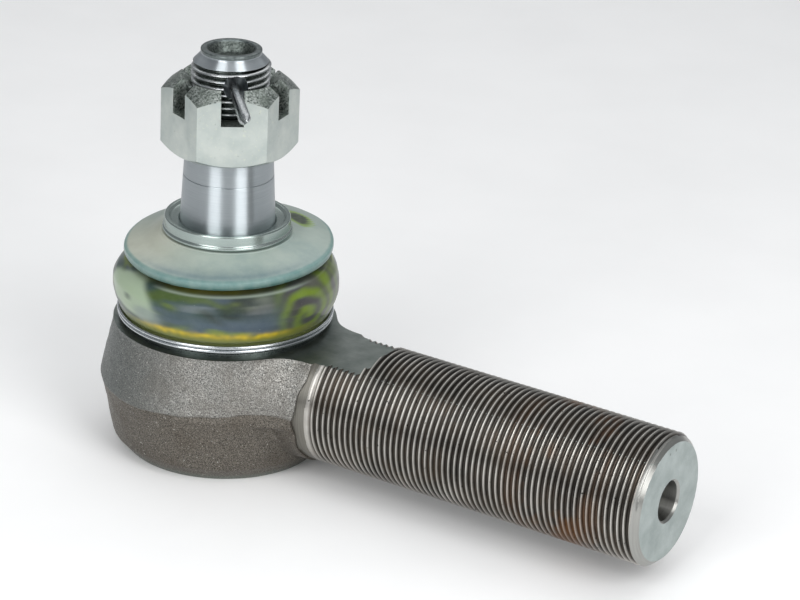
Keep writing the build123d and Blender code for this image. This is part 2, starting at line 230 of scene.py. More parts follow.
def tube_object(name, path, radius, sides=20):
    """A round wire along the points of a path, with rounded ends."""
    path = np.asarray(path, float)
    along = np.gradient(path, axis=0)
    along /= np.linalg.norm(along, axis=1)[:, None]
    side = np.cross(along, (0.0, 0.0, 1.0))
    side /= np.linalg.norm(side, axis=1)[:, None]
    up = np.cross(side, along)
    turn = np.arange(sides) / sides * TAU
    rings = []
    for n, centre in enumerate(path):
        ring = side[n] * np.cos(turn)[:, None] + up[n] * np.sin(turn)[:, None]
        rings.append(centre + ring * radius)
    caps = [(share, math.sqrt(1 - share ** 2)) for share in (0.0, 0.55, 0.85)]
    first = [path[0] - along[0] * radius * a + (rings[0] - path[0]) * b for a, b in reversed(caps)]
    last = [path[-1] + along[-1] * radius * a + (rings[-1] - path[-1]) * b for a, b in caps]
    tip_first = np.repeat([path[0] - along[0] * radius], sides, axis=0)
    tip_last = np.repeat([path[-1] + along[-1] * radius], sides, axis=0)
    return grid_object(name, np.array([tip_first] + first + rings[1:-1] + last + [tip_last]))


# ---------------------------------------------------------------- materials

class Look:
    """A material with one Principled shader, and short ways to add its nodes."""

    def __init__(self, name, **values):
        self.material = bpy.data.materials.new(name)
        self.material.use_nodes = True
        self.tree = self.material.node_tree
        self.shader = self.tree.nodes["Principled BSDF"]
        for key, value in values.items():
            self.shader.inputs[key.replace("_", " ")].default_value = value
        self.place = self.add("ShaderNodeTexCoord").outputs["Object"]

    def add(self, kind, links=None, **settings):
        node = self.tree.nodes.new(kind)
        for key, value in settings.items():
            setattr(node, key, value)
        for key, value in (links or {}).items():
            self.put(node.inputs[key], value)
        return node

    def put(self, socket, value):
        if isinstance(value, bpy.types.NodeSocket):
            self.tree.links.new(value, socket)
        else:
            socket.default_value = value

    def noise(self, size, detail=3.0, rough=0.55, stretch=(1, 1, 1), distortion=0.0):
        """Noise with features about size millimetres across."""
        scaled = self.add("ShaderNodeMapping", {"Vector": self.place, "Scale": stretch})
        links = {
            "Vector": scaled.outputs["Vector"],
            "Scale": 1 / (size * MM),
            "Detail": detail,
            "Roughness": rough,
            "Distortion": distortion,
        }
        return self.add("ShaderNodeTexNoise", links).outputs["Fac"]

    def cells(self, size):
        links = {"Vector": self.place, "Scale": 1 / (size * MM)}
        return self.add("ShaderNodeTexVoronoi", links).outputs["Distance"]

    def ramp(self, value, low, high, start=0.0, end=1.0):
        links = {"Value": value, "From Min": low, "From Max": high, "To Min": start, "To Max": end}
        return self.add("ShaderNodeMapRange", links, clamp=True).outputs["Result"]

    def math(self, operation, a, b=0.0):
        return self.add("ShaderNodeMath", {0: a, 1: b}, operation=operation).outputs[0]

    def axis(self, name):
        return self.add("ShaderNodeSeparateXYZ", {0: self.place}).outputs[name]

    def distance(self, a, b):
        """Distance from the axis that is square to the two given ones."""
        squares = [self.math("MULTIPLY", self.axis(name), self.axis(name)) for name in (a, b)]
        return self.math("SQRT", self.math("ADD", *squares))

    def mix(self, factor, a, b):
        node = self.add("ShaderNodeMix", {"Factor": factor}, data_type="RGBA")
        colours = [s for s in node.inputs if s.type == "RGBA"]
        self.put(colours[0], a)
        self.put(colours[1], b)
        return [s for s in node.outputs if s.type == "RGBA"][0]

    def attribute(self, name, output="Color"):
        return self.add("ShaderNodeAttribute", attribute_name=name).outputs[output]

    def bump(self, height, depth, strength=1.0, below=None):
        """Relief of depth millimetres, on top of another bump."""
        links = {"Height": height, "Distance": depth * MM, "Strength": strength}
        if below is not None:
            links["Normal"] = below
        return self.add("ShaderNodeBump", links).outputs["Normal"]

    def set(self, **sockets):
        for key, value in sockets.items():
            self.put(self.shader.inputs[key.replace("_", " ")], value)
        return self.material


def srgb(r, g, b):
    """Linear colour, with alpha, from 0-255 screen values."""
    return tuple(((c / 255 + 0.055) / 1.055) ** 2.4 if c > 10 else c / 3294.6 for c in (r, g, b)) + (1.0,)


def forged_material():
    look = Look("forged_steel", Metallic=0.9)
    z = look.axis("Z")
    along_x = look.math("MULTIPLY", look.axis("X"), 0.85)
    along_y = look.math("MULTIPLY", look.axis("Y"), 0.52)
    across = look.math("ADD", along_x, along_y)
    grain = look.noise(0.26, 3, 0.75)
    coarse = look.noise(1.1, 3, 0.6)
    cloud = look.noise(8.0, 4, 0.6)
    pits = look.ramp(look.cells(0.38), 0.12, 0.42)
    speck = look.ramp(grain, 0.38, 0.62)
    steel = look.mix(speck, srgb(70, 71, 70), srgb(182, 181, 176))
    steel = look.mix(look.ramp(coarse, 0.35, 0.65, 0.0, 0.4), steel, srgb(120, 118, 113))
    steel = look.mix(look.ramp(cloud, 0.4, 0.68, 0.0, 0.5), steel, srgb(116, 111, 104))
    # painted shade: the left side of the body darkens to a greenish grey
    steel = look.mix(look.ramp(across, -25 * MM, -6 * MM, 0.62, 0.0), steel, srgb(92, 100, 100))
    # darker, browner steel below the parting line
    below = look.attribute("below", "Fac")
    below_line_colour = look.mix(speck, srgb(52, 49, 45), srgb(134, 127, 117))
    below_line_colour = look.mix(look.ramp(cloud, 0.35, 0.65, 0.0, 0.4), below_line_colour, srgb(84, 76, 66))
    steel = look.mix(look.math("MULTIPLY", below, 0.85), steel, below_line_colour)
    steel = look.mix(look.ramp(pits, 0.0, 1.0, 0.35, 0.0), steel, srgb(52, 50, 46))
    foot = look.ramp(z, -18.6 * MM, -17.2 * MM, 0.6, 0.0)
    steel = look.mix(foot, steel, srgb(128, 136, 130))
    # painted glints: random pale specks where the shot-blasted grain would catch the light
    bright = look.ramp(look.noise(0.5, 2, 0.6), 0.66, 0.72, 0.0, 0.6)
    steel = look.mix(bright, steel, srgb(216, 214, 208))
    relief = look.bump(coarse, 0.16, 0.8)
    relief = look.bump(pits, 0.07, 0.9, relief)
    relief = look.bump(grain, 0.05, 0.9, relief)
    rough = look.ramp(grain, 0.3, 0.7, 0.58, 0.34)
    return look.set(Base_Color=steel, Roughness=rough, Normal=relief)


def milled_material(name, dark, light, roughness):
    look = Look(name, Metallic=1.0)
    streaks = look.noise(0.5, 3, 0.6, stretch=(0.12, 1.0, 1.0))
    cloud = look.noise(5.0, 3)
    steel = look.mix(look.ramp(cloud, 0.3, 0.7), dark, light)
    steel = look.mix(look.ramp(streaks, 0.55, 0.75, 0.0, 0.3), steel, light)
    relief = look.bump(streaks, 0.012, 0.8)
    rough = look.ramp(streaks, 0.3, 0.7, roughness, roughness + 0.14)
    return look.set(Base_Color=steel, Roughness=rough, Normal=relief)


def shank_material(crest, root):
    """Painted highlight on the crests and painted shade in the roots, with rust towards the end; crest and
    root are radii.
    """
    look = Look("turned_thread", Metallic=1.0, Anisotropic=0.7, Anisotropic_Rotation=0.25)
    height = look.ramp(look.distance("Y", "Z"), root * MM, crest * MM)
    patch = look.noise(9.0, 4, 0.6)
    fine = look.noise(0.35, 3, 0.7)
    steel = look.mix(look.ramp(patch, 0.35, 0.65), srgb(168, 166, 161), srgb(200, 197, 191))
    root_shade = look.mix(look.ramp(patch, 0.3, 0.7), srgb(56, 54, 51), srgb(80, 76, 71))
    colour = look.mix(look.ramp(height, 0.45, 0.97), root_shade, steel)
    rust = look.noise(10.0, 4, 0.6, stretch=(1.0, 0.6, 0.6))
    x = look.axis("X")
    far = look.math("MULTIPLY", look.ramp(x, 0.080, 0.094), look.ramp(x, 0.110, 0.101))
    share = look.math("MULTIPLY", look.ramp(rust, 0.50, 0.68), look.math("MULTIPLY", far, 0.62))
    colour = look.mix(share, colour, srgb(136, 94, 58))
    brown = look.ramp(look.noise(6.0, 3), 0.45, 0.7, 0.0, 0.25)
    colour = look.mix(brown, colour, srgb(112, 96, 80))
    speck = look.ramp(look.noise(0.8, 2, 0.5), 0.69, 0.74)
    colour = look.mix(speck, colour, srgb(36, 32, 30))
    tangent = look.add("ShaderNodeTangent", direction_type="RADIAL", axis="X").outputs[0]
    relief = look.bump(fine, 0.010, 0.7)
    rough = look.ramp(fine, 0.3, 0.7, 0.26, 0.42)
    return look.set(Base_Color=colour, Roughness=rough, Normal=relief, Tangent=tangent)


def rolled_material():
    """Painted highlight on the crests and painted shade in the roots, by distance from the stud's axis."""
    look = Look("rolled_thread", Metallic=1.0)
    height = look.ramp(look.distance("X", "Y"), (STUD_R - 1.0) * MM, (STUD_R - 0.1) * MM)
    fine = look.noise(0.3, 3, 0.7)
    patch = look.noise(2.5, 3, 0.6)
    crest = look.mix(look.ramp(patch, 0.3, 0.7), srgb(176, 180, 182), srgb(222, 224, 224))
    root = look.mix(look.ramp(fine, 0.3, 0.7), srgb(52, 58, 56), srgb(108, 114, 110))
    colour = look.mix(look.ramp(height, 0.15, 0.8), root, crest)
    relief = look.bump(fine, 0.02, 0.8)
    return look.set(Base_Color=colour, Roughness=look.ramp(patch, 0.3, 0.7, 0.16, 0.30), Normal=relief)


def turned_material(name, colour, light, roughness, anisotropy, axis="Z", line=0.16, depth=0.0006):
    """Bright metal turned about an axis: fine rings, and a highlight drawn out along the axis."""
    look = Look(name, Metallic=1.0, Roughness=roughness, Anisotropic=anisotropy, Anisotropic_Rotation=0.25)
    flat = (1.0, 0.02, 0.02) if axis == "X" else (0.02, 0.02, 1.0)
    rings = look.noise(line, 2, 0.5, stretch=flat)
    cloud = look.noise(6.0, 3)
    steel = look.mix(look.ramp(rings, 0.3, 0.7, 0.0, 0.5), colour, light)
    steel = look.mix(look.ramp(cloud, 0.4, 0.75, 0.0, 0.3), steel, colour)
    mark = look.ramp(look.noise(0.5, 3, 0.6, stretch=flat), 0.70, 0.78, 0.0, 0.35)
    steel = look.mix(mark, steel, srgb(96, 100, 104))
    tangent = look.add("ShaderNodeTangent", direction_type="RADIAL", axis=axis).outputs[0]
    relief = look.bump(rings, depth, 0.5)
    return look.set(Base_Color=steel, Normal=relief, Tangent=tangent)


def zinc_material():
    look = Look("zinc_plate", Metallic=0.85)
    fine = look.noise(0.4, 4, 0.65)
    cloud = look.noise(5.0, 3)
    colour = look.mix(look.ramp(cloud, 0.3, 0.7), srgb(172, 181, 178), srgb(194, 200, 195))
    spot = look.ramp(look.noise(0.55, 3), 0.62, 0.72, 0.0, 0.3)
    colour = look.mix(spot, colour, srgb(226, 228, 196))
    dent = look.ramp(look.noise(0.9, 2), 0.69, 0.76, 0.0, 0.55)
    colour = look.mix(dent, colour, srgb(134, 144, 136))
    relief = look.bump(look.noise(2.2, 2), 0.03, 0.6)
    relief = look.bump(fine, 0.014, 0.8, relief)
    rough = look.ramp(fine, 0.3, 0.7, 0.30, 0.46)
    return look.set(Base_Color=colour, Roughness=rough, Normal=relief)


def mottled_material():
    # darker mottled metal: painted shade in the nut's slots and bore, and a painted dark reflection on its
    # top faces
    look = Look("nut_painted_shade", Metallic=0.9)
    fine = look.noise(0.45, 4, 0.75, distortion=0.6)
    patch = look.noise(2.0, 3, 0.6)
    colour = look.mix(look.ramp(fine, 0.42, 0.60), srgb(62, 69, 66), srgb(196, 203, 198))
    colour = look.mix(look.ramp(patch, 0.4, 0.66, 0.0, 0.6), colour, srgb(112, 122, 114))
    relief = look.bump(fine, 0.06, 0.9)
    return look.set(Base_Color=colour, Roughness=look.ramp(fine, 0.3, 0.7, 0.42, 0.25), Normal=relief)


def wire_material(name, dark, light, roughness):
    look = Look(name, Metallic=1.0)
    fine = look.noise(0.3, 3, 0.6)
    colour = look.mix(look.ramp(fine, 0.3, 0.7), dark, light)
    relief = look.bump(fine, 0.006, 0.5)
    rough = look.ramp(fine, 0.2, 0.8, roughness, roughness + 0.12)
    return look.set(Base_Color=colour, Roughness=rough, Normal=relief)


def boot_material():
    look = Look(
        "milky_boot", Metallic=0.0, Roughness=0.34, IOR=1.36,
        Coat_Weight=0.35, Coat_Roughness=0.24, Coat_IOR=1.45,
        Subsurface_Weight=0.2, Subsurface_Radius=(0.9, 1.0, 0.8), Subsurface_Scale=0.8 * MM,
    )
    painted = look.attribute("look")
    milk = look.attribute("milk", "Fac")
    faint = look.noise(2.4, 4, 0.6)
    veil = look.math("ADD", look.math("MULTIPLY", milk, 0.12), 0.03)
    share = look.math("MULTIPLY", look.ramp(faint, 0.35, 0.75), veil)
    colour = look.mix(share, painted, srgb(196, 204, 190))
    dust = look.ramp(look.noise(0.35, 2), 0.74, 0.80, 0.0, 0.35)
    colour = look.mix(dust, colour, srgb(196, 206, 190))
    relief = look.bump(look.noise(5.0, 2), 0.06, 0.5)
    relief = look.bump(look.noise(0.3, 2), 0.003, 0.4, relief)
    return look.set(Base_Color=colour, Normal=relief)


def plain_material(name, dark, light, roughness, metallic=0.0, size=1.2):
    look = Look(name, Metallic=metallic)
    fine = look.noise(size, 4, 0.6)
    colour = look.mix(look.ramp(fine, 0.3, 0.7), dark, light)
    relief = look.bump(fine, 0.02, 0.5)
    rough = look.ramp(fine, 0.3, 0.7, roughness, roughness + 0.15)
    return look.set(Base_Color=colour, Roughness=rough, Normal=relief)


# ---------------------------------------------------------------- housing

def join_soft(a, b, reach):
    """The larger of a and b, with the inner corner between them filled."""
    return np.maximum(a, b) + np.maximum(reach - np.abs(a - b), 0) ** 2 / (4 * reach)


def forged_radius(theta, r, z):
    """The forged body with its neck, from the radius of the turned body."""
    half = np.sqrt(np.maximum(NECK_R ** 2 - z ** 2, 0))
    neck = half / np.maximum(np.abs(np.sin(theta)), 1e-3)
    reached = COLLAR_X + FORGING_OVER + FORGING_OVER_TOP * smoothstep(-1.0, 11.0, z)
    reached = reached + 0.25 * np.sin(0.9 * z)
    plane = reached / np.maximum(np.cos(theta), 1e-3)
    facing = np.cos(theta) > 0.2
    above = smoothstep(-4.6, -3.8, z)
    reach = 2.0 + 7.0 * above
    joined = join_soft(r, np.minimum(neck, plane), reach)
    joined = np.minimum(joined, np.maximum(plane, r))
    return np.where(facing & (np.abs(z) < NECK_R), np.maximum(joined, r), r)


def make_housing():
    """The forged body round the ball: one closed ring of rows, outside, flat, seat, mouth and bore."""
    side = rounded([
        (22.9, FOOT_Z, 0), (26.0, -15.7, 1.6), (29.0, PARTING_Z, 2.5), (25.9, FLAT_Z, 0),
    ], 0.3)
    inner = rounded([
        (SEAT_R, FLAT_Z, 0), (SEAT_R, 12.5, 0.15), (22.4, 12.5, 0), (22.4, 15.7, 0), (22.9, 15.7, 0),
        (22.9, 18.2, 0.1), (22.3, 18.8, 0.1), (19.2, 18.8, 0.1), (16.9, 10.8, 0), (16.9, 9.2, 0),
        (19.4, 6.5, 0), (19.4, -14.7, 0), (20.95, -14.7, 0), (20.95, -16.9, 0), (18.6, -16.9, 0.2),
        (18.6, FOOT_Z, 0),
    ], 0.9)
    outside, theta = turned(side, COLUMNS)
    r = side[:, 0][:, None]
    z = side[:, 1][:, None] + 0 * theta
    away = np.abs(angle_from(theta, 0.0))
    line_z = -1.3 + 0.9 * bump_at(away, 40.0, 14.0) - 1.2 * smoothstep(60.0, 100.0, away)
    line_z = line_z + 0.22 * noise(outside * (1, 1, 0), 4.0, 3)
    under = smoothstep(0.22, -0.22, z - line_z)
    step = 0.26 * under * smoothstep(-13, -6, z)
    r = forged_radius(theta[None, :] + 0 * r, r + 0 * theta, z)
    place = np.stack([r * np.cos(theta), r * np.sin(theta), z], axis=-1)
    rough = 0.16 * layered(place, 7.0, 2, 1) + 0.05 * layered(place, 1.3, 2, 5)
    free = smoothstep(FOOT_Z, -16.5, z) * smoothstep(FLAT_Z + 0.05, FLAT_Z - 0.5, z) * 0.85 + 0.15
    r = r - step + (rough - 0.16) * free
    outside = np.stack([r * np.cos(theta), r * np.sin(theta), z], axis=-1)
    edge = r[-1]
    flat = []
    for share in (0.04, 0.35, 0.7):
        inward = edge + (SEAT_R - edge) * share
        flat.append(np.stack([inward * np.cos(theta), inward * np.sin(theta), 0 * theta + FLAT_Z], axis=-1))
    inside, _ = turned(inner, COLUMNS)
    points = np.concatenate([outside, np.array(flat), inside])
    mask = np.zeros(points.shape[:2])
    mask[:len(under)] = under
    return grid_object("housing_body", points, closed=True, sharp=35, values={"below": mask})


def thread_rows(start, end, radius, depth, turn, per_pitch, fade, point):
    """Rows that follow a right-hand thread: where each point is along the axis, and its radius.

    fade is the run-out at the start, and point gives the chamfered end's radius along the axis.
    """
    count = int((end - start) / PITCH + 2) * per_pitch
    number = np.arange(count)
    along = start - PITCH + (number[:, None] + 0 * turn) * PITCH / per_pitch
    along = np.clip(along + PITCH * turn / TAU, start - fade, end)
    phase = (number % per_pitch) / per_pitch
    tooth = 0.5 + 0.5 * np.cos(TAU * phase)
    tooth = smoothstep(0.0, 1.0, np.clip(tooth * 1.25 - 0.05, 0, 1)) * 0.6
    tooth = tooth + np.clip(np.abs(phase - 0.5) * 2, 0, 1) * 0.4
    cut = depth * tooth[:, None] * smoothstep(start - 0.4, start + fade, along)
    return along, np.minimum(radius - cut, point(along))


def ring_rows(line, turn):
    """A line of (r, along) points as rows for a turned piece: along the axis, and radius."""
    return line[:, 1][:, None] + 0 * turn, line[:, 0][:, None] + 0 * turn


def make_shank():
    """Collar, right-hand thread, chamfered end and centre hole, with the milled flat."""
    start = COLLAR_X + 4.7
    edge = math.degrees(math.acos(FLAT_Z / SHANK_R))
    fine = np.arange(edge - 6, edge + 3, 0.75)
    top = np.linspace(-edge + 7, edge - 7, 49)
    rest = np.linspace(edge + 4, 360 - edge - 4, 200)
    wide = np.concatenate([top, fine, rest, -fine])
    turn = np.radians(np.append(np.unique(np.round(wide % 360, 3)), 360.0))
    lead = ring_rows(rounded([
        (0, SHANK_ROOT, 0), (14.6, SHANK_ROOT, 0), (SHANK_R, 28.3, 0), (SHANK_R, start - 1.6, 0),
    ], 1.2), turn)
    thread = thread_rows(
        start, SHANK_END, SHANK_R, 0.85, turn, 10, PITCH, lambda x: SHANK_R - 1.6 + (SHANK_END - x)
    )
    tail = ring_rows(rounded([
        (13.4, SHANK_END, 0), (5.0, SHANK_END, 0.1), (CENTRE_HOLE_R, 116.6, 0.1),
        (CENTRE_HOLE_R, 106.1, 0), (0, 103.4, 0),
    ], 0.6), turn)
    x, r = (np.concatenate(parts) for parts in zip(lead, thread, tail))
    y = -r * np.sin(turn)
    z = r * np.cos(turn)
    on_flat = (x < SHANK_ROOT) | ((x - SHANK_ROOT) ** 2 + y ** 2 < MILL_R ** 2)
    lowered = np.where(x < COLLAR_X + 2.9, FLAT_Z - 0.02, FLAT_Z)
    z = np.where(on_flat, np.minimum(z, lowered), z)
    return grid_object("housing_shank", np.stack([x, y, z], axis=-1), sharp=25, ring=False)


# ---------------------------------------------------------------- stud and pin

def make_stud():
    """Ball, neck, ground cone and threaded end with the hole for the split pin."""
    turn = np.linspace(0, TAU, 181)
    angles = np.linspace(math.acos(12 / BALL_R), math.acos(-12 / BALL_R), 40)
    ball = [(BALL_R * math.sin(a), -BALL_R * math.cos(a), 0) for a in angles]
    lower = rounded([(0, -12, 0)] + ball + [
        (9.0, 12.6, 1.0), (9.0, 24.0, 3.0), (10.2, 28.0, 0.6), (10.2, 33.7, 0), (10.85, 33.75, 0),
        (10.85, 37.2, 0), (10.37, 46.9, 0), (10.24, 47.05, 0), (10.35, 47.2, 0), (10.1, 52.1, 0.2),
        (9.6, 52.4, 0.1), (8.0, 52.9, 0.3), (8.0, 53.6, 0),
    ], 0.8)
    thread = thread_rows(
        STUD_THREAD_START, STUD_THREAD_END, STUD_R, 1.1, turn, 12, 0.8,
        lambda z: STUD_R - 1.05 * np.maximum(z - 73.4, 0),
    )
    upper = rounded([
        (8.4, STUD_THREAD_END, 0), (6.75, 75.75, 0.5), (6.9, 76.3, 0.2), (6.9, 76.75, 0.25),
        (6.5, 76.95, 0.2), (5.6, 76.9, 0.3), (4.7, 75.6, 0.5), (4.2, 74.4, 0.6), (0, 74.0, 0),
    ], 0.25)
    z, r = (np.concatenate(parts) for parts in zip(ring_rows(lower, turn), thread, ring_rows(upper, turn)))
    points = np.stack([r * np.cos(turn), r * np.sin(turn), z], axis=-1)
    return drilled(grid_object("stud", points, sharp=32, ring=False))


def drilled(stud):
    """The stud with the split pin's hole cut through it."""
    across = np.array((math.cos(HOLE_TURN), math.sin(HOLE_TURN), 0.0))
    side = np.array((-math.sin(HOLE_TURN), math.cos(HOLE_TURN), 0.0))
    sides = 48
    reach = 14
    turn = np.arange(sides) / sides * TAU
    ring = HOLE_R * (side * np.cos(turn)[:, None] + UP * np.sin(turn)[:, None]) + UP * HOLE_Z
    ends = [np.repeat([UP * HOLE_Z + across * way], sides, axis=0) for way in (-reach, reach)]
    drill = grid_object("drill", np.array([ends[0], ring - across * reach, ring + across * reach, ends[1]]))
    cut = stud.modifiers.new("cut", "BOOLEAN")
    cut.operation = "DIFFERENCE"
    cut.solver = "EXACT"
    cut.object = drill
    bpy.context.view_layer.update()
    made = bpy.data.meshes.new_from_object(stud.evaluated_get(bpy.context.evaluated_depsgraph_get()))
    stud.modifiers.clear()
    stud.data = made
    bpy.data.objects.remove(drill)
    made.shade_smooth()
    made.set_sharp_from_angle(angle=math.radians(32))
    return stud


UP = np.array((0.0, 0.0, 1.0))
PIN_ALONG = np.array((math.cos(PIN_TURN), math.sin(PIN_TURN), 0.0))
PIN_LEVEL = np.array((-math.sin(PIN_TURN), math.cos(PIN_TURN), 0.0))
PIN_APART = PIN_LEVEL * math.sin(PIN_ROLL) + UP * math.cos(PIN_ROLL)    # square to the slit


def bezier(points, count):
    """A smooth line through a few control points."""
    t = np.linspace(0, 1, count)[:, None]
    total = 0
    n = len(points) - 1
    for i, p in enumerate(points):
        total = total + math.comb(n, i) * t ** i * (1 - t) ** (n - i) * np.array(p, float)
    return total


def make_pin_leg(name, side, tip):
    """One half-round leg of the split pin, from its eye to its rounded tip."""
    apart = PIN_APART * side
    start = UP * HOLE_Z - PIN_ALONG * 14.0
    bend = UP * HOLE_Z + PIN_ALONG * 8.2
    straight = np.linspace(start, bend, 14)
    far, turned_by, down = tip
    b = math.radians(turned_by)
    end = np.array((far * math.cos(b), far * math.sin(b), down))
    curve = bezier([bend, bend + PIN_ALONG * 2.2, bend + (end - bend) * 0.35, end], 24)
    path = np.concatenate([straight[:-1], curve])
    forward = np.gradient(path, axis=0)
    forward /= np.linalg.norm(forward, axis=1)[:, None]
    arc = np.radians(np.linspace(-90, 90, 15))
    rows = []
    radius = 1.12
    gap = 0.07
    for n, (place, ahead) in enumerate(zip(path, forward)):
        out = apart - ahead * (apart @ ahead)
        out /= np.linalg.norm(out)
        across = np.cross(ahead, out)
        left = (len(path) - 1 - n) / 1.6
        grow = math.sqrt(max(0.02, 1 - (1 - min(left, 1)) ** 2))
        back = out * (gap + radius * np.cos(arc) * grow)[:, None]
        ring = back + across * (radius * np.sin(arc) * grow)[:, None]
        flat = out * gap + across * (np.linspace(0.8, -0.8, 5) * radius * grow)[:, None]
        rows.append(place + np.concatenate([ring, flat]))
    closing = np.repeat([rows[0].mean(axis=0)], rows[0].shape[0], axis=0)
    ending = np.repeat([rows[-1].mean(axis=0) + forward[-1] * 0.1], rows[0].shape[0], axis=0)
    return grid_object(name, np.array([closing] + rows + [ending]), sharp=50)


def make_pin_eye():
    """The loop of the split pin, a little longer than it is wide."""
    centre = UP * HOLE_Z - PIN_ALONG * 16.6
    t = np.linspace(math.radians(12), math.radians(348), 60)
    path = centre + PIN_ALONG * (2.7 * np.cos(t))[:, None] + PIN_APART * (2.35 * np.sin(t))[:, None]
    return tube_object("pin_eye", path, 0.8, 16)


# ---------------------------------------------------------------- boot

def boot_lower_line():
    """The boot from its foot in the seat up to the widest part of the bulge."""
    return rounded([
        (23.4, SEAM_Z, 0), (24.3, SEAM_Z, 0), (24.0, 18.6, 1.5), (23.2, 15.9, 0.3), (22.5, 15.8, 0),
        (22.45, 12.75, 0), (23.7, 12.65, 0), (24.1, 13.1, 0.3), (24.1, 15.0, 0.2), (24.6, 15.6, 0.5),
        (25.5, 17.8, 3.0), (25.93, 19.6, 3.0), (25.95, SEAM_Z, 0),
    ], 0.25)


def boot_upper_line():
    """The boot from the bulge, in under the disc, over the disc and down inside."""
    return rounded([
        (25.95, SEAM_Z, 0), (25.9, 22.6, 3.0), (25.2, 24.6, 3.0), (23.6, 26.6, 2.0), (21.2, 27.5, 1.0),
        (18.2, 28.1, 0.4), (18.4, 28.7, 0.4), (22.6, 28.5, 1.0), (23.7, 28.7, 0.6), (24.0, 29.5, 0.6),
        (23.95, 30.5, 0.4), (23.4, 30.85, 0.4), (22.0, 31.3, 1.0), (15.3, 33.2, 0.8), (15.2, 33.35, 0),
        (10.6, 33.35, 0.3), (10.6, 29.2, 0.3), (17.0, 29.2, 1.0), (17.2, 27.2, 1.0), (20.8, 26.0, 1.5),
        (23.6, 23.6, 2.0), (24.3, SEAM_Z, 0), (23.4, SEAM_Z, 0),
    ], 0.25)


def blend_colour(base, other, share):
    """The base colour with a share of the other laid over it."""
    share = np.clip(share, 0, 1)[..., None]
    return base * (1 - share) + other * share


def spread(colour, sideways, updown):
    """Colours blurred round the boot and, less, up and down it."""
    for _ in range(sideways):
        colour = 0.5 * colour + 0.25 * (np.roll(colour, 1, axis=1) + np.roll(colour, -1, axis=1))
    for _ in range(updown):
        colour = 0.5 * colour + 0.25 * (np.roll(colour, 1, axis=0) + np.roll(colour, -1, axis=0))
    return colour


def screen(*colour):
    return np.array(srgb(*colour)[:3])


